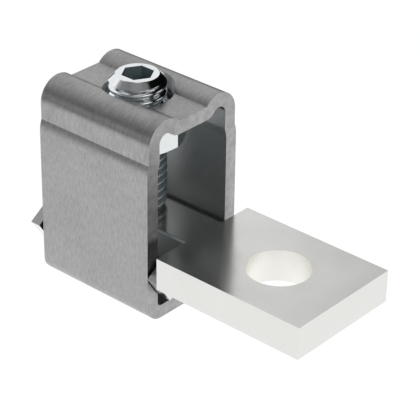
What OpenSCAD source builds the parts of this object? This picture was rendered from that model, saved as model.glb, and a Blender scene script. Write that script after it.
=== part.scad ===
/* [Frame] */
// Length of the frame along the conductor
frame_l = 30; // [20:1:60]
// How far the lower part of each side stands out beyond the upper part
step_out = 0.52; // [0.3:0.02:4]
// Height from the base to the top of the two humps
frame_h = 45; // [42:0.1:60]
// Wall thickness of the bent strip
wall = 3; // [2:0.1:3.5]
// Inside radius of the two corners at the base
bend_r = 1; // [0.5:0.1:2]
// Height of the humps above the sunken web between them
hump_rise = 1.6; // [1:0.1:2.4]
// Width of the flat of the sunken web
web_w = 8.2; // [6:0.1:9]
// Slope of the ramps that join web and humps
ramp_angle = 46; // [30:1:50]
// Inside radius of the bends between web and ramps
ramp_r = 0.2; // [0.1:0.1:0.6]
// Share of the room on a hump that its two bends take, near 1 for one single arc
hump_share = 0.99; // [0.8:0.01:0.99]
// Height at which the sides start to step inwards
jog_z = 35.25; // [30:0.05:36]
// Height that the step takes
jog_h = 1.3; // [1.2:0.1:3]
// Inside radius of the bend that rounds the lower edge of the step
jog_low_r = 4; // [1:0.5:4]
// Radius of the crease at the upper edge of the step
jog_high_r = 0.2; // [0.1:0.1:0.5]

/* [Terminal bar] */
// Width of the flag and of the ears
bar_w = 27.8; // [26:0.2:40]
// Thickness of the bar
bar_t = 7.2; // [5:0.1:8]
// Width of the flat bed that the screw presses on
bed_w = 10.8; // [9:0.2:14]
// Slope of the wings beside the bed
wing_angle = 34.5; // [20:0.5:38]
// Radius of the crests between bed and wings
crest_r = 1.6; // [0.5:0.1:3]
// Thickness of the ears that stand outside the ends of the frame
ear_t = 2.45; // [1.5:0.05:4]
// Gap between an ear and the end of the frame
ear_gap = 0.6; // [0.3:0.1:2]
// Gap between the bar and each side wall of the frame
side_gap = 0.75; // [0.2:0.05:1]
// Distance from the screw's axis to the bolt hole
hole_to_screw = 38; // [34:0.5:80]
// Diameter of the bolt hole
hole_d = 13.5; // [9:0.5:17.5]
// Distance from the bolt hole to the free end of the flag
hole_to_end = 16.4; // [12:0.2:30]

/* [Screw and nut] */
// Outside diameter of the screw
screw_d = 12; // [10:1:14]
// Height by which the screw stands above the web
screw_proud = 4; // [2.5:0.1:12]
// Chamfer at the head end of the screw
head_chamfer = 1.5; // [0.5:0.1:2]
// Chamfer at the pressing end of the screw
tip_chamfer = 1; // [0.5:0.1:2]
// Width of the hexagon socket across its flats
socket_af = 6; // [4:0.5:7]
// Depth of the hexagon socket
socket_depth = 6; // [3:0.5:8]
// Width of the nut across its flats
nut_af = 19; // [18:0.5:19]
// Height of the nut
nut_h = 7.1; // [5:0.1:10]
// Slope at which the corners of the nut are taken off
nut_corner_angle = 40; // [25:1:45]
// Radial gap between screw and nut
thread_gap = 0.05; // [0.02:0.01:0.1]
// Gap between the nut and each side wall of the frame
nut_gap = 0.23; // [0.05:0.01:0.4]
// Radial gap between the screw and its hole in the web
web_hole_gap = 1.5; // [0.5:0.1:2]

/* [Clamping space] */
// Free height between the frame's floor and the bar
conductor_gap = 7.2; // [6.5:0.1:16]

/* [Hidden] */
$fn = 96;
// How far a cutter runs past the face that it cuts
past = 1;
// Largest turn from one flat of a round to the next
flat_angle = 7.5;
// The part's zero is the middle of the bolt hole on the underside of the flag
screw_x = -hole_to_screw;
base_z = -wall - conductor_gap;
web_top_z = base_z + frame_h - hump_rise;
web_low_z = web_top_z - wall;
upper_w = nut_af + 2 * nut_gap + 2 * wall;
frame_w = upper_w + 2 * step_out;
// Half width at which the line of a ramp reaches the height of the humps
ramp_top = web_w / 2 + hump_rise / tan(ramp_angle);
// Inside radius of both bends of a hump
hump_r = hump_share * (upper_w / 2 - ramp_top) / (1 + tan(ramp_angle / 2)) - wall;
saddle_l = frame_l + 2 * ear_gap + 2 * ear_t;
saddle_w = frame_w - 2 * wall - 2 * side_gap;
screw_l = web_top_z + screw_proud - bar_t;
web_hole_d = screw_d + 2 * web_hole_gap;
nut_bore_d = screw_d + 2 * thread_gap;
nut_corner_d = nut_af / cos(30);

// Unit vector from point a to point b
function unit(a, b) = (b - a) / norm(b - a);

// Positive where the way from u to v turns left
function turning(u, v) = u[0] * v[1] - u[1] * v[0];

// The same point of a closed outline, counted round its end
function at(p, i) = p[(i + len(p)) % len(p)];

// An outline given by its right half, closed by the mirrored half
function both_sides(half) = concat(half, [for (i = [len(half) - 1:-1:0]) [-half[i][0], half[i][1]]]);

// Every value of a right half once more for the mirrored half
function both_values(half) = concat(half, [for (i = [len(half) - 1:-1:0]) half[i]]);

// Left turning outline moved inwards by d
function inset(p, d) = [
    for (i = [0:len(p) - 1])
        let(
            u = unit(at(p, i - 1), p[i]),
            v = unit(p[i], at(p, i + 1)),
            nu = [-u[1], u[0]],
            nv = [-v[1], v[0]]
        )
        p[i] + d * (nu + nv) / (1 + nu * nv)
];

// True where an outline's corner points outwards
function is_convex(p, i) = turning(unit(at(p, i - 1), p[i]), unit(p[i], at(p, i + 1))) > 0;

// Points of a round of radius r that takes the place of corner i
function round_points(p, i, r) =
    let(
        u = unit(at(p, i - 1), p[i]),
        v = unit(p[i], at(p, i + 1)),
        side = is_convex(p, i) ? 1 : -1,
        swing = acos(u * v),
        centre = p[i] - u * r * tan(swing / 2) + side * r * [-u[1], u[0]],
        from = atan2(-side * u[0], side * u[1]),
        steps = ceil(swing / flat_angle)
    )
    [for (k = [0:steps]) let(a = from + side * k * swing / steps) centre + r * [cos(a), sin(a)]];

// Left turning outline p with a round of its own radius at each corner, sharp where that is 0
function rounded(p, radii) = [
    for (i = [0:len(p) - 1]) each radii[i] > 0 ? round_points(p, i, radii[i]) : [p[i]]
];

// A section drawn in Y and Z, run along X and centred on the screw's axis
module along_x(length) {
    translate([screw_x - length / 2, 0, 0]) rotate([90, 0, 90]) linear_extrude(length) children();
}

// Right half of the frame's outside, from the base corner up to the web
half_frame = [
    [frame_w / 2, 0],
    [frame_w / 2, jog_z],
    [upper_w / 2, jog_z + jog_h],
    [upper_w / 2, frame_h],
    [ramp_top, frame_h],
    [web_w / 2, frame_h - hump_rise]
];
// Inside radius of the bend at each of those corners
half_bends = [bend_r, jog_low_r, jog_high_r, hump_r, hump_r, ramp_r];

// The closed strip of constant wall seen from its end
module frame_section() {
    outside = both_sides(half_frame);
    bends = both_values(half_bends);
    outer_r = [for (i = [0:len(bends) - 1]) bends[i] + (is_convex(outside, i) ? wall : 0)];
    inner_r = [for (i = [0:len(bends) - 1]) bends[i] + (is_convex(outside, i) ? 0 : wall)];
    difference() {
        polygon(rounded(outside, outer_r));
        polygon(rounded(inset(outside, wall), inner_r));
    }
}

module frame() {
    color([0.62, 0.63, 0.65])
        difference() {
            translate([0, 0, base_z]) along_x(frame_l) frame_section();
            translate([screw_x, 0, web_low_z - past])
                cylinder(d = web_hole_d, h = wall + hump_rise + 2 * past);
        }
}

// Roof shaped section of the bar where it lies in the frame
module saddle_section() {
    tip = [bar_w / 2, bar_t - (bar_w - bed_w) / 2 * tan(wing_angle)];
    heel = tip - bar_t * [sin(wing_angle), cos(wing_angle)];
    half = [[heel[0] + heel[1] / tan(wing_angle), 0], heel, tip, [bed_w / 2, bar_t]];
    polygon(rounded(both_sides(half), both_values([0, 0, 0, crest_r])));
}

module terminal_bar() {
    flag_to = hole_to_screw + hole_to_end;
    color([0.86, 0.86, 0.84])
        difference() {
            union() {
                along_x(saddle_l) saddle_section();
                translate([screw_x + saddle_l / 2, -bar_w / 2, 0])
                    cube([flag_to - saddle_l / 2, bar_w, bar_t]);
            }
            for (side = [-1, 1])
                translate([
                    screw_x - frame_l / 2 - ear_gap,
                    side * (saddle_w + bar_w) / 2 - bar_w / 2,
                    -bar_w
                ])
                    cube([frame_l + 2 * ear_gap, bar_w, 2 * bar_w]);
            translate([0, 0, -past]) cylinder(d = hole_d, h = bar_t + 2 * past);
        }
}

// Solid of revolution that takes the corners off a hexagon, top and bottom
module nut_corners() {
    drop = (nut_corner_d - nut_af) / 2 * tan(nut_corner_angle);
    rotate_extrude()
        polygon([
            [0, 0],
            [nut_af / 2, 0],
            [nut_corner_d / 2, drop],
            [nut_corner_d / 2, nut_h - drop],
            [nut_af / 2, nut_h],
            [0, nut_h]
        ]);
}

module hex_nut() {
    mouth = 0.6;
    color([0.8, 0.81, 0.83])
        translate([screw_x, 0, web_low_z - nut_h])
        difference() {
            intersection() {
                cylinder(d = nut_corner_d, h = nut_h, $fn = 6);
                nut_corners();
            }
            translate([0, 0, -past]) cylinder(d = nut_bore_d, h = nut_h + 2 * past);
            cylinder(d1 = nut_bore_d + 2 * mouth, d2 = nut_bore_d, h = mouth);
            translate([0, 0, nut_h - mouth])
                cylinder(d1 = nut_bore_d, d2 = nut_bore_d + 2 * mouth, h = mouth);
        }
}

module clamping_screw() {
    r = screw_d / 2;
    socket_corner_d = socket_af / cos(30);
    color([0.82, 0.83, 0.85])
        translate([screw_x, 0, bar_t])
        difference() {
            rotate_extrude()
                polygon([
                    [0, 0],
                    [r - tip_chamfer, 0],
                    [r, tip_chamfer],
                    [r, screw_l - head_chamfer],
                    [r - head_chamfer, screw_l],
                    [0, screw_l]
                ]);
            translate([0, 0, screw_l - socket_depth])
                cylinder(d = socket_corner_d, h = socket_depth + past, $fn = 6);
            translate([0, 0, screw_l - socket_depth - socket_af / 4])
                cylinder(d1 = 0, d2 = socket_af, h = socket_af / 4);
        }
}

terminal_bar();
frame();
hex_nut();
clamping_screw();
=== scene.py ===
import math

import bpy
from mathutils import Matrix, Vector


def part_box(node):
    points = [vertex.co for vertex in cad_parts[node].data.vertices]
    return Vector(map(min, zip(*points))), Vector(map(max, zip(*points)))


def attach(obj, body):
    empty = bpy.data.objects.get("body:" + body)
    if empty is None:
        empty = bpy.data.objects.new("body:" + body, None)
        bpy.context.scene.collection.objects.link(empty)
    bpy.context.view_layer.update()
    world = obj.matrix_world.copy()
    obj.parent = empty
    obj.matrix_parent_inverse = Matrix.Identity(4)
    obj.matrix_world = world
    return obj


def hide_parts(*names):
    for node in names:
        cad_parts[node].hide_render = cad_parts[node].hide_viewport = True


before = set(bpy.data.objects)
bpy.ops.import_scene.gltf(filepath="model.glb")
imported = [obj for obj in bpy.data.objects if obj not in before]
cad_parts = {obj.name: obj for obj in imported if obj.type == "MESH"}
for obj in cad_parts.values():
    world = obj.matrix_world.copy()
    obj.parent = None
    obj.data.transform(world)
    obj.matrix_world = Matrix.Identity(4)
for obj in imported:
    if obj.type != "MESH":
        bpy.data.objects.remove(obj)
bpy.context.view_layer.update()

mm = 0.001
near = 0.01 * mm  # closer than this counts as touching
facing = 0.9  # how squarely a face has to point one way to be picked
past = 2 * mm  # how far a drill runs past the faces that it cuts
hexTurn = math.radians(30)  # half the turn from one flat of a hexagon to the next

# lowest and highest corners of the CAD pieces, in metres
frameLow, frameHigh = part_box("frame")
barLow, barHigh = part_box("terminal_bar")
nutLow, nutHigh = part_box("hex_nut")
screwLow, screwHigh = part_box("clamping_screw")
screwX = (screwLow.x + screwHigh.x) / 2


# handling of meshes

def deselectAll():
    if bpy.context.object and bpy.context.object.mode != "OBJECT":
        bpy.ops.object.mode_set(mode="OBJECT")
    bpy.ops.object.select_all(action="DESELECT")


def makeActive(piece):
    deselectAll()
    piece.select_set(True)
    bpy.context.view_layer.objects.active = piece


def takeNew(name):
    # the primitive that was just added, with its place moved into its mesh
    piece = bpy.context.object
    piece.name = name
    piece.data.name = name
    bpy.ops.object.transform_apply(location=True, rotation=True, scale=True)
    return piece


def addBlock(name, low, high):
    deselectAll()
    low, high = Vector(low), Vector(high)
    bpy.ops.mesh.primitive_cube_add(size=1, location=(low + high) / 2, scale=high - low)
    return takeNew(name)


def addRod(name, radius, x, low, high, sides=128, turned=0.0):
    deselectAll()
    bpy.ops.mesh.primitive_cylinder_add(
        vertices=sides, radius=radius, depth=high - low,
        location=(x, 0, (low + high) / 2), rotation=(0, 0, turned),
    )
    return takeNew(name)


def clearPicked(piece, kind):
    # nothing selected, and either faces or edges are what selects
    makeActive(piece)
    bpy.ops.object.mode_set(mode="EDIT")
    bpy.ops.mesh.select_mode(type=kind)
    bpy.ops.mesh.select_all(action="DESELECT")
    bpy.ops.object.mode_set(mode="OBJECT")


def editFaces(piece, wanted):
    # edit mode with just the faces that wanted(middle, normal) picks
    clearPicked(piece, "FACE")
    for face in piece.data.polygons:
        face.select = wanted(face.center, face.normal)
    bpy.ops.object.mode_set(mode="EDIT")


def editEdges(piece, wanted):
    # edit mode with just the edges that wanted(one end, other end) picks
    clearPicked(piece, "EDGE")
    points = piece.data.vertices
    for edge in piece.data.edges:
        edge.select = wanted(points[edge.vertices[0]].co, points[edge.vertices[1]].co)
    bpy.ops.object.mode_set(mode="EDIT")


def leaveEdit():
    bpy.ops.object.mode_set(mode="OBJECT")


def pullOut(y, z):
    # draws new walls out of what is selected
    bpy.ops.mesh.extrude_region_move(TRANSFORM_OT_translate={"value": (0, y, z)})


def narrowTo(share):
    bpy.ops.transform.resize(value=(share, share, 1))


def useModifier(piece, kind, **settings):
    makeActive(piece)
    modifier = piece.modifiers.new(kind.lower(), kind)
    for name, value in settings.items():
        setattr(modifier, name, value)
    bpy.ops.object.modifier_apply(modifier=modifier.name)


def joinWith(piece, tool, how="DIFFERENCE"):
    useModifier(piece, "BOOLEAN", object=tool, operation=how, solver="EXACT")
    bpy.data.objects.remove(tool, do_unlink=True)


def mergeClose(piece, joinFlat=False):
    # closes the mesh, and where asked joins the faces that lie in one plane
    makeActive(piece)
    bpy.ops.object.mode_set(mode="EDIT")
    bpy.ops.mesh.select_all(action="SELECT")
    bpy.ops.mesh.remove_doubles(threshold=0.001 * mm)
    if joinFlat:
        bpy.ops.mesh.dissolve_limited(angle_limit=math.radians(0.5))
    bpy.ops.mesh.normals_make_consistent(inside=False)
    leaveEdit()


def breakEdges(piece, width):
    useModifier(
        piece, "BEVEL", width=width, segments=2, limit_method="ANGLE",
        angle_limit=math.radians(30), use_clamp_overlap=True, miter_outer="MITER_ARC",
    )


def smoothPiece(piece):
    makeActive(piece)
    bpy.ops.object.shade_smooth_by_angle(angle=math.radians(35))
    useModifier(piece, "WEIGHTED_NORMAL", keep_sharp=True, weight=100)


def onHoleWall(middle, normal, x, radius):
    # true for a face on the wall of an upright round hole
    offRound = abs(math.hypot(middle.x - x, middle.y) - radius)
    return offRound < 0.05 * mm and abs(normal.z) < 0.5


def finishPiece(piece, node, body, finishes, pickFinish=None):
    # finishes are materials by name, and pickFinish(middle, normal) names the one for a face
    names = list(finishes)
    piece.data.materials.clear()
    for material in finishes.values():
        piece.data.materials.append(material)
    if pickFinish:
        for face in piece.data.polygons:
            face.material_index = names.index(pickFinish(face.center, face.normal))
    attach(piece, body)
    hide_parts(node)
    print("piece", piece.name, len(piece.data.polygons), "faces")


# materials

def emptyNodes(owner, outputKind):
    # a material or a world with nothing but its output
    owner.use_nodes = True
    nodes, links = owner.node_tree.nodes, owner.node_tree.links
    nodes.clear()
    return nodes, links, nodes.new(outputKind)


def newMetal(name):
    material = bpy.data.materials.new(name)
    nodes, links, output = emptyNodes(material, "ShaderNodeOutputMaterial")
    shader = nodes.new("ShaderNodeBsdfPrincipled")
    links.new(shader.outputs[0], output.inputs[0])
    shader.inputs["Metallic"].default_value = 1.0
    return material, nodes, links, shader


def addNoise(nodes, links, place, scale, detail, roughness=0.5):
    # noise over Object coordinates, its scale in cells a metre along X, Y and Z
    mapping = nodes.new("ShaderNodeMapping")
    mapping.inputs["Scale"].default_value = scale
    noise = nodes.new("ShaderNodeTexNoise")
    noise.inputs["Scale"].default_value = 1.0
    noise.inputs["Detail"].default_value = detail
    noise.inputs["Roughness"].default_value = roughness
    links.new(place.outputs["Object"], mapping.inputs["Vector"])
    links.new(mapping.outputs[0], noise.inputs["Vector"])
    return noise.outputs[0]


def addRange(nodes, links, value, low, high, fromLow=0.3, fromHigh=0.7):
    spread = nodes.new("ShaderNodeMapRange")
    spread.inputs["From Min"].default_value = fromLow
    spread.inputs["From Max"].default_value = fromHigh
    spread.inputs["To Min"].default_value = low
    spread.inputs["To Max"].default_value = high
    links.new(value, spread.inputs["Value"])
    return spread.outputs[0]


def addRamp(nodes, links, value, first, last, fromLow=0.3, fromHigh=0.7):
    ramp = nodes.new("ShaderNodeValToRGB")
    stops = ((fromLow, first), (fromHigh, last))
    for element, (place, colour) in zip(ramp.color_ramp.elements, stops):
        element.position = place
        element.color = (*colour, 1)
    links.new(value, ramp.inputs[0])
    return ramp.outputs[0]


def addMath(nodes, links, kind, *values):
    step = nodes.new("ShaderNodeMath")
    step.operation = kind
    for socket, value in zip(step.inputs, values):
        if isinstance(value, (int, float)):
            socket.default_value = value
        else:
            links.new(value, socket)
    return step.outputs[0]


def addBump(nodes, links, shader, height, strength, distance):
    bump = nodes.new("ShaderNodeBump")
    bump.inputs["Strength"].default_value = strength
    bump.inputs["Distance"].default_value = distance
    links.new(height, bump.inputs["Height"])
    links.new(bump.outputs[0], shader.inputs["Normal"])


def grainyMetal(name, look):
    # colour and relief follow a fine grain, and gloss changes slowly from place to place
    material, nodes, links, shader = newMetal(name)
    place = nodes.new("ShaderNodeTexCoord")
    grain = addNoise(nodes, links, place, (look["grain"],) * 3, detail=3)
    cloud = addNoise(nodes, links, place, (look["cloud"],) * 3, detail=2)
    dark = [channel * (1 - look["variation"]) for channel in look["colour"]]
    light = [channel * (1 + look["variation"]) for channel in look["colour"]]
    links.new(addRamp(nodes, links, grain, dark, light), shader.inputs["Base Color"])
    links.new(addRange(nodes, links, cloud, *look["roughness"]), shader.inputs["Roughness"])
    addBump(nodes, links, shader, grain, strength=0.1, distance=look["relief"])
    shader.inputs["Metallic"].default_value = look["metallic"]
    return material


def brushedMetal(name, look):
    # long grain round the strip, mixed with fine specks
    material, nodes, links, shader = newMetal(name)
    place = nodes.new("ShaderNodeTexCoord")
    stretch = (look["grainAcross"], look["grainAlong"], look["grainAlong"])
    grain = addNoise(nodes, links, place, stretch, detail=3, roughness=0.7)
    specks = addNoise(nodes, links, place, (look["specks"],) * 3, detail=2)
    cloud = addNoise(nodes, links, place, (look["cloud"],) * 3, detail=2)
    faint = addMath(nodes, links, "MULTIPLY", specks, 1 - look["grainShare"])
    mixed = addMath(nodes, links, "MULTIPLY_ADD", grain, look["grainShare"], faint)
    links.new(addRamp(nodes, links, mixed, look["dark"], look["light"]), shader.inputs["Base Color"])
    links.new(addRange(nodes, links, cloud, *look["roughness"]), shader.inputs["Roughness"])
    addBump(nodes, links, shader, mixed, strength=0.25, distance=look["relief"])
    return material


def turnedZinc(name, look):
    # even colour, with shallow waves that make the reflections uneven
    material, nodes, links, shader = newMetal(name)
    place = nodes.new("ShaderNodeTexCoord")
    waves = addNoise(nodes, links, place, (look["waves"],) * 3, detail=3)
    links.new(addRange(nodes, links, waves, *look["roughness"]), shader.inputs["Roughness"])
    addBump(nodes, links, shader, waves, strength=0.05, distance=look["relief"])
    shader.inputs["Base Color"].default_value = (*look["colour"], 1)
    return material


def threadZincPaintedShade(name, look):
    # painted shade: darker and rougher below the nut, where the frame shades the thread, and bright above
    # it; the nut hides most of the change
    material, nodes, links, shader = newMetal(name)
    place = nodes.new("ShaderNodeTexCoord")
    split = nodes.new("ShaderNodeSeparateXYZ")
    links.new(place.outputs["Object"], split.inputs[0])
    height = addRange(nodes, links, split.outputs["Z"], 0, 1, nutLow.z - look["shadeRoom"], nutHigh.z)
    links.new(addRamp(nodes, links, height, look["paintedShade"], look["bright"], 0, 1), shader.inputs["Base Color"])
    links.new(addRange(nodes, links, height, *look["roughness"], 0, 1), shader.inputs["Roughness"])
    return material


# frame

frameStrip = {
    "wall": 3 * mm,
    "upperHalf": 12.73 * mm,  # half the width above the step in the sides
    "jogLow": 35.25 * mm,  # the step's two heights over the base
    "jogHigh": 36.55 * mm,
    "webHalf": 4.1 * mm,
    "humpRise": 1.6 * mm,
    "rampAngle": math.radians(46),
    "bends": [1.0 * mm, 4.0 * mm, 0.1 * mm, 1.9 * mm, 1.9 * mm, 0.03 * mm],  # inside radii, base to web
    "holeRadius": 7.5 * mm,
    "edge": 0.14 * mm,
    "turnStep": math.radians(5),
    "outside": {
        "dark": (0.255, 0.26, 0.277), "light": (0.48, 0.472, 0.455), "roughness": (0.30, 0.40),
        "grainAcross": 2600,  # cells a metre across the strip
        "grainAlong": 600,  # and along it, so that the grain runs round the strip
        "grainShare": 0.6,  # the specks have the rest
        "specks": 5200, "cloud": 90, "relief": 0.02 * mm,
    },
    # painted highlight: a bright, glossy steel on the broken edges of the ends, below the step
    "cutEdge": {
        "colour": (0.85, 0.86, 0.86), "variation": 0.03, "roughness": (0.12, 0.16),
        "grain": 7000, "cloud": 300, "relief": 0.002 * mm, "metallic": 1.0,
    },
    "inside": {
        "colour": (0.605, 0.62, 0.615), "variation": 0.1, "roughness": (0.46, 0.54),
        "grain": 5000, "cloud": 120, "relief": 0.004 * mm, "metallic": 1.0,
    },
    "holeWall": {
        "colour": (0.92, 0.94, 0.95), "variation": 0.03, "roughness": (0.22, 0.28),
        "grain": 7000, "cloud": 300, "relief": 0.002 * mm, "metallic": 0.35,
    },
}


def leftOf(heading):
    return Vector((-heading.y, heading.x))


def turnBetween(coming, going):
    # positive where the way turns left
    return math.atan2(coming.x * going.y - coming.y * going.x, coming.dot(going))


def insetOutline(points, distance):
    # a half outline moved to its left, with ends that meet the middle plane squarely
    moved = []
    for i, point in enumerate(points):
        mirrored = Vector((-point.x, point.y))
        before = points[i - 1] if i else mirrored
        after = points[i + 1] if i + 1 < len(points) else mirrored
        coming, going = leftOf((point - before).normalized()), leftOf((after - point).normalized())
        moved.append(point + distance * (coming + going) / (1 + coming.dot(going)))
    return moved


def stripCorners():
    # where the middle of the strip's wall would turn if its bends were sharp, in Y and height
    part = frameStrip
    height = frameHigh.z - frameLow.z
    outline = [Vector(corner) for corner in (
        (frameHigh.y, 0),
        (frameHigh.y, part["jogLow"]),
        (part["upperHalf"], part["jogHigh"]),
        (part["upperHalf"], height),
        (part["webHalf"] + part["humpRise"] / math.tan(part["rampAngle"]), height),
        (part["webHalf"], height - part["humpRise"]),
    )]
    return insetOutline(outline, part["wall"] / 2)


def bendStrip(name):
    # half the floor, then every bend and straight stretch is drawn out of the strip's edge
    part = frameStrip
    corners = stripCorners()
    radii = [bend + part["wall"] / 2 for bend in part["bends"]]
    route = [Vector((0, corners[0].y)), *corners, Vector((0, corners[-1].y))]
    headings = [(after - before).normalized() for before, after in zip(route, route[1:])]
    turns = [turnBetween(coming, going) for coming, going in zip(headings, headings[1:])]
    # how far each bend reaches back and on from its corner, and nothing at the middle plane
    reaches = [radius * math.tan(abs(turn) / 2) for radius, turn in zip(radii, turns)] + [0.0]

    deselectAll()
    floorHalf = corners[0].x - reaches[0]
    bpy.ops.mesh.primitive_plane_add(size=1, location=(screwX, floorHalf / 2, frameLow.z + corners[0].y))
    bpy.context.object.scale = (frameHigh.x - frameLow.x, floorHalf, 1)
    strip = takeNew(name)
    editEdges(strip, lambda one, other: min(one.y, other.y) > floorHalf - near)
    for i, corner in enumerate(corners):
        coming, going = headings[i], headings[i + 1]
        centre = corner - coming * reaches[i] + leftOf(coming) * math.copysign(radii[i], turns[i])
        bpy.ops.mesh.spin(
            steps=max(3, math.ceil(abs(turns[i]) / part["turnStep"])), angle=-turns[i],
            center=(0, centre.x, frameLow.z + centre.y), axis=(1, 0, 0),
        )
        straight = (route[i + 2] - corner).length - reaches[i] - reaches[i + 1]
        pullOut(going.x * straight, going.y * straight)
    leaveEdit()
    return strip


def makeFrame():
    part = frameStrip
    strip = bendStrip("clampFrame")
    useModifier(strip, "MIRROR", use_axis=(False, True, False), use_clip=True, merge_threshold=near)
    mergeClose(strip)
    useModifier(
        strip, "SOLIDIFY", thickness=part["wall"], offset=0, use_even_offset=True, use_quality_normals=True
    )
    webLow = frameHigh.z - part["humpRise"] - part["wall"]
    joinWith(strip, addRod("webHole", part["holeRadius"], screwX, webLow - past, frameHigh.z + past))
    mergeClose(strip, joinFlat=True)
    breakEdges(strip, part["edge"])
    smoothPiece(strip)

    def pickFinish(middle, normal):
        lean = abs(normal.x)  # how far a face looks towards an end of the frame
        if middle.z > webLow and onHoleWall(middle, normal, screwX, part["holeRadius"]):
            return "holeWall"
        if lean < 0.3 and middle.z < webLow + 0.2 * mm and normal.y * middle.y < 0:
            return "inside"  # looks towards the middle plane
        if 0.3 < lean < 0.95 and middle.z < frameLow.z + part["jogLow"]:
            return "cutEdge"  # painted highlight on the broken edges of both ends, below the step
        return "outside"

    finishPiece(strip, "frame", "clamp", {
        "outside": brushedMetal("frameSteel", part["outside"]),
        "cutEdge": grainyMetal("edgeHighlightSteel", part["cutEdge"]),
        "inside": grainyMetal("innerSteel", part["inside"]),
        "holeWall": grainyMetal("holeSteel", part["holeWall"]),
    }, pickFinish)


# terminal bar

terminalBar = {
    "thickness": 7.2 * mm,
    "bedHalf": 5.4 * mm,
    "wingAngle": math.radians(34.5),
    "earThickness": 2.45 * mm,
    "earGap": 0.6 * mm,
    "waistHalf": 9.5 * mm,
    "holeRadius": 6.75 * mm,
    "crestBevel": 0.5 * mm,
    "edge": 0.12 * mm,
    "plating": {
        "colour": (0.725, 0.721, 0.7025), "variation": 0.055, "roughness": (0.17, 0.23),
        "grain": 7000, "cloud": 120, "relief": 0.004 * mm, "metallic": 1.0,
    },
    # painted highlight: a bright cyan tin on the rounded near crest
    "crest": {
        "colour": (0.92, 0.99, 0.99), "variation": 0.01, "roughness": (0.44, 0.48),
        "grain": 7000, "cloud": 120, "relief": 0.002 * mm, "metallic": 1.0,
    },
    # painted shade: a darker tin on the wings where they lie inside the frame
    "wing": {
        "colour": (0.5, 0.51, 0.51), "variation": 0.06, "roughness": (0.27, 0.33),
        "grain": 7000, "cloud": 120, "relief": 0.004 * mm, "metallic": 1.0,
    },
    "boltHole": {
        "colour": (0.9, 0.893, 0.85), "variation": 0.03, "roughness": (0.3, 0.36),
        "grain": 7000, "cloud": 120, "relief": 0.003 * mm, "metallic": 1.0,
    },
}


def makeSaddle(name, low, high):
    # the bed first, then the wings are pulled out of its sides, and last the crests are rounded
    part = terminalBar
    thick, bed, slope = part["thickness"], part["bedHalf"], part["wingAngle"]
    tip = Vector((barHigh.y, thick - (barHigh.y - bed) * math.tan(slope)))
    heel = tip - thick * Vector((math.sin(slope), math.cos(slope)))
    root = heel.x + heel.y / math.tan(slope)
    saddle = addBlock(name, (low, -bed, 0), (high, bed, thick))
    editFaces(saddle, lambda middle, normal: normal.z < -facing)
    bpy.ops.transform.resize(value=(1, root / bed, 1))
    leaveEdit()
    pulled = Vector((root + tip.x - bed, tip.y - thick))  # where a pulled wing has its lower edge
    for side in (-1, 1):
        editFaces(saddle, lambda middle, normal: normal.y * side > facing)
        pullOut(side * (tip.x - bed), tip.y - thick)
        leaveEdit()
        editEdges(saddle, lambda one, other: all(
            abs(end.y * side - pulled.x) < near and abs(end.z - pulled.y) < near for end in (one, other)
        ))
        bpy.ops.transform.translate(value=(0, side * (heel.x - pulled.x), heel.y - pulled.y))
        leaveEdit()
    editEdges(saddle, lambda one, other: abs(one.y - other.y) < near and all(
        abs(abs(end.y) - bed) < near and abs(end.z - thick) < near for end in (one, other)
    ))
    bpy.ops.mesh.bevel(offset=part["crestBevel"], segments=5, profile=0.5, affect="EDGES")
    leaveEdit()
    return saddle


def makeBar():
    part = terminalBar
    thick, half = part["thickness"], barHigh.y
    saddleHigh = frameHigh.x + part["earGap"] + part["earThickness"]
    bar = makeSaddle("terminalBar", barLow.x, saddleHigh)
    joinWith(bar, addBlock("flag", (saddleHigh, -half, 0), (barHigh.x, half, thick)), "UNION")
    joinWith(bar, addRod("boltHole", part["holeRadius"], 0, -past, thick + past))
    mergeClose(bar, joinFlat=True)
    breakEdges(bar, part["edge"])
    # the waist is cut last, because its edges are sharp
    waist = (frameHigh.x - frameLow.x) / 2 + part["earGap"]
    for side in (-1, 1):
        low, high = sorted((side * part["waistHalf"], side * 2 * half))
        joinWith(bar, addBlock("notch", (screwX - waist, low, -half), (screwX + waist, high, half)))
    mergeClose(bar)
    smoothPiece(bar)

    def pickFinish(middle, normal):
        if 0.88 < normal.z < 0.99 and abs(-middle.y - part["bedHalf"]) < part["crestBevel"]:
            return "crest"  # painted highlight, on the near crest only
        # painted shade on the wings inside the frame
        if abs(middle.x - screwX) < waist and abs(middle.y) > part["bedHalf"] + 0.2 * mm:
            return "wing"
        return "boltHole" if onHoleWall(middle, normal, 0, part["holeRadius"]) else "plating"

    finishPiece(bar, "terminal_bar", "terminal", {
        "plating": grainyMetal("tinPlating", part["plating"]),
        "crest": grainyMetal("crestPaintedHighlight", part["crest"]),
        "wing": grainyMetal("wingPaintedShade", part["wing"]),
        "boltHole": grainyMetal("boltHoleTin", part["boltHole"]),
    }, pickFinish)


# nut

hexNut = {
    "flat": 9.5 * mm,  # half the width across flats
    "cornerSlope": math.radians(40),
    "bore": 6.05 * mm,
    "mouth": 0.6 * mm,
    "edge": 0.1 * mm,
    "zinc": {"colour": (0.84, 0.87, 0.89), "roughness": (0.05, 0.09), "waves": 400, "relief": 0.02 * mm},
}


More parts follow.
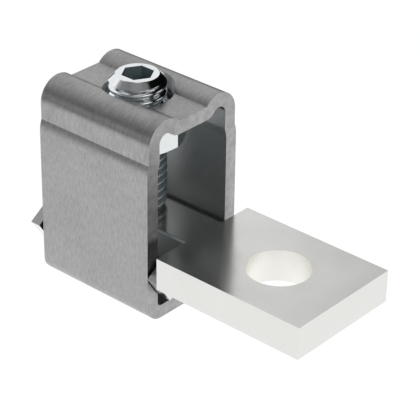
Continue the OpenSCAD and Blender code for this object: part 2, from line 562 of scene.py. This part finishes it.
def makeNut(zinc):
    part = hexNut
    corner = part["flat"] / math.cos(hexTurn)
    drop = (corner - part["flat"]) * math.tan(part["cornerSlope"])
    nut = addRod("hexNut", corner, screwX, nutLow.z, nutHigh.z, 6, hexTurn)
    # the corners are taken off by a turned form
    turned = addRod("turnedForm", corner, screwX, nutLow.z + drop, nutHigh.z - drop)
    for side in (-1, 1):
        editFaces(turned, lambda middle, normal: normal.z * side > facing)
        pullOut(0, side * drop)
        narrowTo(part["flat"] / corner)
        leaveEdit()
    joinWith(nut, turned, "INTERSECT")
    # the bore widens to a mouth at both ends
    bore = addRod("bore", part["bore"], screwX, nutLow.z + part["mouth"], nutHigh.z - part["mouth"])
    for side in (-1, 1):
        editFaces(bore, lambda middle, normal: normal.z * side > facing)
        pullOut(0, side * part["mouth"])
        narrowTo((part["bore"] + part["mouth"]) / part["bore"])
        pullOut(0, side * part["mouth"])
        leaveEdit()
    joinWith(nut, bore)
    mergeClose(nut, joinFlat=True)
    breakEdges(nut, part["edge"])
    smoothPiece(nut)
    finishPiece(nut, "hex_nut", "clamp", {"zinc": zinc})


# screw

clampingScrew = {
    "radius": 6.0 * mm,
    "pitch": 1.75 * mm,
    "threadDepth": 0.95 * mm,
    "crestRound": 0.42 * mm,
    "flankTurn": math.radians(60),  # from the foot or the crest of the thread to its flank
    "roundSteps": 4,
    "trimRoom": 0.3 * mm,
    "headChamfer": 1.5 * mm,
    "tipChamfer": 1.0 * mm,
    "socketFlat": 3.0 * mm,  # half the width across flats
    "socketDepth": 6.0 * mm,
    "drillDepth": 1.5 * mm,
    "threadStart": math.radians(-132),
    "stepsPerTurn": 72,
    "edge": 0.08 * mm,
    # painted shade: the thread is darker below the nut
    "thread": {
        "paintedShade": (0.46, 0.51, 0.53), "bright": (0.84, 0.87, 0.89), "roughness": (0.42, 0.13),
        "shadeRoom": 2 * mm,  # how far below the nut the painted shade starts to fade
    },
    # a darker, rougher zinc inside the hex socket
    "socket": {
        "colour": (0.40, 0.48, 0.51), "variation": 0.08, "roughness": (0.56, 0.64),
        "grain": 5000, "cloud": 300, "relief": 0.006 * mm, "metallic": 1.0,
    },
}


def threadProfile():
    # one pitch from foot to foot, as radius and height, with a round foot and a round crest
    part = clampingScrew
    pitch, outer = part["pitch"], part["crestRound"]
    foot = part["radius"] - part["threadDepth"]
    inner = pitch / 2 * math.tan(part["flankTurn"]) - part["threadDepth"] - outer
    swing = [part["flankTurn"] * step / part["roundSteps"] for step in range(part["roundSteps"] + 1)]
    back = [-turn for turn in reversed(swing)]

    def hollow(turn, height):
        return foot + inner - inner * math.cos(turn), height + inner * math.sin(turn)

    def crest(turn, height):
        return part["radius"] - outer + outer * math.cos(turn), height + outer * math.sin(turn)

    profile = [hollow(turn, 0) for turn in swing]
    profile += [crest(turn, pitch / 2) for turn in back + swing[1:]]
    return profile + [hollow(turn, pitch) for turn in back]


def makeThreadedRod(name, low, high):
    # the profile is drawn point by point, wound up round the axis and cut off square at both ends
    part = clampingScrew
    pitch = part["pitch"]
    profile = threadProfile()
    deselectAll()
    bpy.ops.mesh.primitive_plane_add(size=pitch)
    rod = takeNew(name)
    bpy.ops.object.mode_set(mode="EDIT")
    bpy.ops.mesh.select_mode(type="VERT")
    bpy.ops.mesh.select_all(action="SELECT")
    bpy.ops.mesh.merge(type="CENTER")
    bpy.ops.transform.translate(value=(profile[0][0], 0, 0))
    for before, after in zip(profile, profile[1:]):
        bpy.ops.mesh.extrude_region_move(TRANSFORM_OT_translate={
            "value": (after[0] - before[0], 0, after[1] - before[1])
        })
    leaveEdit()
    spareTurns = 1.5  # at each end, for the cut
    turns = math.ceil((high - low) / pitch + 2 * spareTurns)
    useModifier(
        rod, "SCREW", angle=2 * math.pi * turns, screw_offset=pitch * turns, iterations=1, axis="Z",
        steps=part["stepsPerTurn"] * turns, render_steps=part["stepsPerTurn"] * turns,
        use_merge_vertices=True, merge_threshold=0.001 * mm, use_smooth_shade=False,
    )
    makeActive(rod)
    rod.rotation_euler = (0, 0, part["threadStart"])
    rod.location = (screwX, 0, low - spareTurns * pitch)
    bpy.ops.object.transform_apply(location=True, rotation=True, scale=True)
    bpy.ops.object.mode_set(mode="EDIT")
    bpy.ops.mesh.select_all(action="SELECT")
    bpy.ops.mesh.remove_doubles(threshold=0.001 * mm)
    for height, upwards in ((low, False), (high, True)):
        bpy.ops.mesh.select_all(action="SELECT")
        bpy.ops.mesh.bisect(
            plane_co=(screwX, 0, height), plane_no=(0, 0, 1), use_fill=True,
            clear_inner=not upwards, clear_outer=upwards,
        )
    bpy.ops.mesh.select_all(action="SELECT")
    bpy.ops.mesh.normals_make_consistent(inside=False)
    leaveEdit()
    return rod


def makeEndTrimmer(low, high):
    # a turned form that trims the thread to its length and chamfers both its ends
    part = clampingScrew
    room, edge = part["trimRoom"], part["edge"]
    wide = part["radius"] + room
    bottom, top = low + part["tipChamfer"] + room, high - part["headChamfer"] - room
    form = addRod("turnedForm", wide, screwX, bottom, top, part["stepsPerTurn"] * 2)
    for side, chamfer in ((-1, part["tipChamfer"]), (1, part["headChamfer"])):
        reach = chamfer + room - edge
        editFaces(form, lambda middle, normal: normal.z * side > facing)
        pullOut(0, side * reach)
        narrowTo((wide - reach) / wide)
        pullOut(0, side * edge)
        narrowTo((wide - reach - 2 * edge) / (wide - reach))
        leaveEdit()
    return form


def makeScrew(zinc):
    part = clampingScrew
    low, high = screwLow.z, screwHigh.z
    spare = 1 * mm  # what the trimmer takes off each end
    socketLow = high - part["socketDepth"]
    socketCorner = part["socketFlat"] / math.cos(hexTurn)
    screw = makeThreadedRod("clampingScrew", low - spare, high + spare)
    joinWith(screw, makeEndTrimmer(low, high), "INTERSECT")
    joinWith(screw, addRod("socket", socketCorner, screwX, socketLow, high + spare, 6, hexTurn))
    deselectAll()
    bpy.ops.mesh.primitive_cone_add(
        vertices=48, radius1=0, radius2=part["socketFlat"], depth=part["drillDepth"],
        location=(screwX, 0, socketLow - part["drillDepth"] / 2 + near),
    )
    joinWith(screw, takeNew("drillCone"))
    mergeClose(screw)
    makeActive(screw)
    bpy.ops.object.shade_smooth_by_angle(angle=math.radians(17))
    socketFoot = socketLow - 2 * part["drillDepth"]
    chamferFoot = part["radius"] + high - part["headChamfer"] - 2 * part["edge"]

    def pickFinish(middle, normal):
        fromAxis = math.hypot(middle.x - screwX, middle.y)
        if fromAxis < socketCorner and socketFoot < middle.z < high - part["edge"] / 2:
            return "socket"
        return "turned" if fromAxis + middle.z > chamferFoot else "thread"

    finishPiece(screw, "clamping_screw", "screw", {
        "thread": threadZincPaintedShade("threadZincPaintedShade", part["thread"]),
        "turned": zinc,
        "socket": grainyMetal("darkSocket", part["socket"]),
    }, pickFinish)


# camera

cameraView = {
    "azimuth": math.radians(40.93),
    "elevation": math.radians(30.07),
    "roll": math.radians(0.97),
    "distance": 368.7 * mm,
    "aim": Vector((-21.28, 3.55, 10.48)) * mm,
    "lens": 155.0,
}


def makeCamera():
    view = cameraView
    azimuth, elevation = view["azimuth"], view["elevation"]
    level = math.cos(elevation)
    back = Vector((math.sin(azimuth) * level, -math.cos(azimuth) * level, math.sin(elevation)))
    right = Vector((0, 0, 1)).cross(back).normalized()
    up = back.cross(right)
    turned = Matrix((right, up, back)).transposed() @ Matrix.Rotation(view["roll"], 3, "Z")
    deselectAll()
    bpy.ops.object.camera_add(location=view["aim"] + back * view["distance"])
    camera = bpy.context.object
    camera.rotation_euler = turned.to_euler()
    camera.data.lens = view["lens"]
    camera.data.sensor_width = 36
    camera.data.clip_start = 0.01
    camera.data.clip_end = 20
    bpy.context.scene.camera = camera


# studio

studio = {
    "floorSize": 8.0,
    "floorNear": 0.15,  # how far out the floor still shines fully in reflections, in metres
    "floorFar": 0.45,  # and where it shines least
    "floorShine": 1.12,
    "farShine": 0.05,
    "floorWhite": 0.9,
    "whiteShine": 1.02,  # floor and sky as the camera sees them
    "skyLow": 0.003,
    "skyHigh": 0.005,
    # soft boxes: azimuth, elevation, half width and soft rim in degrees, strength
    "boxes": [
        (164, 20, 40, 8, 1.15),
        (-78, 55, 50, 7, 0.23),
        (-122, 15, 30, 20, 0.06),
        (-125, 3, 14, 10, 0.74),
        (-11, 30, 15, 6, 1.6),
        (42, 18, 14, 6, 1.2),
        (-45, 8, 25, 12, 0.6),
        (0, 90, 11, 5, 0.6),
        (-55, 60, 14, 10, 0.07),
        (-150, 33, 9, 9, 0.15),
    ],
}


def floorMaterial():
    # plain white to the camera, and a bright patch round the object to metal
    material = bpy.data.materials.new("floorWhite")
    nodes, links, output = emptyNodes(material, "ShaderNodeOutputMaterial")
    diffuse = nodes.new("ShaderNodeBsdfDiffuse")
    diffuse.inputs["Color"].default_value = (studio["floorWhite"],) * 3 + (1,)
    seen = nodes.new("ShaderNodeEmission")
    seen.inputs["Strength"].default_value = studio["whiteShine"]
    mirrored = nodes.new("ShaderNodeEmission")
    place = nodes.new("ShaderNodeTexCoord")
    distance = nodes.new("ShaderNodeVectorMath")
    distance.operation = "LENGTH"
    links.new(place.outputs["Object"], distance.inputs[0])
    shine = addRange(
        nodes, links, distance.outputs["Value"],
        studio["floorShine"], studio["farShine"], studio["floorNear"], studio["floorFar"],
    )
    links.new(shine, mirrored.inputs["Strength"])
    rays = nodes.new("ShaderNodeLightPath")
    toMetal, toCamera = nodes.new("ShaderNodeMixShader"), nodes.new("ShaderNodeMixShader")
    links.new(rays.outputs["Is Glossy Ray"], toMetal.inputs[0])
    links.new(diffuse.outputs[0], toMetal.inputs[1])
    links.new(mirrored.outputs[0], toMetal.inputs[2])
    links.new(rays.outputs["Is Camera Ray"], toCamera.inputs[0])
    links.new(toMetal.outputs[0], toCamera.inputs[1])
    links.new(seen.outputs[0], toCamera.inputs[2])
    links.new(toCamera.outputs[0], output.inputs[0])
    return material


def makeFloor():
    deselectAll()
    bpy.ops.mesh.primitive_plane_add(size=studio["floorSize"], location=(0, 0, frameLow.z))
    floor = takeNew("floor")
    floor.data.materials.append(floorMaterial())


def addSoftBox(nodes, links, place, azimuth, elevation, width, rim, strength):
    # a round light in the sky, full inside its rim and fading out across it
    azimuth, elevation = math.radians(azimuth), math.radians(elevation)
    level = math.cos(elevation)
    towards = nodes.new("ShaderNodeVectorMath")
    towards.operation = "DOT_PRODUCT"
    towards.inputs[1].default_value = (
        math.cos(azimuth) * level, math.sin(azimuth) * level, math.sin(elevation)
    )
    links.new(place.outputs["Generated"], towards.inputs[0])
    shine = addRange(
        nodes, links, towards.outputs["Value"], 0, strength,
        math.cos(math.radians(width + rim)), math.cos(math.radians(max(width - rim, 0))),
    )
    shine.node.interpolation_type = "SMOOTHSTEP"
    return shine


def makeWorld():
    # faint sky and soft boxes to the object, and plain white to the camera
    world = bpy.data.worlds.new("studioWorld")
    bpy.context.scene.world = world
    nodes, links, output = emptyNodes(world, "ShaderNodeOutputWorld")
    sky = nodes.new("ShaderNodeBackground")
    white = nodes.new("ShaderNodeBackground")
    white.inputs["Color"].default_value = (1, 1, 1, 1)
    white.inputs["Strength"].default_value = studio["whiteShine"]
    place = nodes.new("ShaderNodeTexCoord")
    split = nodes.new("ShaderNodeSeparateXYZ")
    links.new(place.outputs["Generated"], split.inputs[0])
    total = addRange(nodes, links, split.outputs["Z"], studio["skyLow"], studio["skyHigh"], 0.5, 1)
    for box in studio["boxes"]:
        total = addMath(nodes, links, "ADD", total, addSoftBox(nodes, links, place, *box))
    links.new(total, sky.inputs["Strength"])
    rays = nodes.new("ShaderNodeLightPath")
    mix = nodes.new("ShaderNodeMixShader")
    links.new(rays.outputs["Is Camera Ray"], mix.inputs[0])
    links.new(sky.outputs[0], mix.inputs[1])
    links.new(white.outputs[0], mix.inputs[2])
    links.new(mix.outputs[0], output.inputs[0])


makeCamera()
makeWorld()
makeFloor()
print("stage done")
zinc = turnedZinc("brightZinc", hexNut["zinc"])
makeFrame()
makeBar()
makeNut(zinc)
makeScrew(zinc)
print("pieces done")

bpy.context.scene.view_settings.view_transform = "Standard"
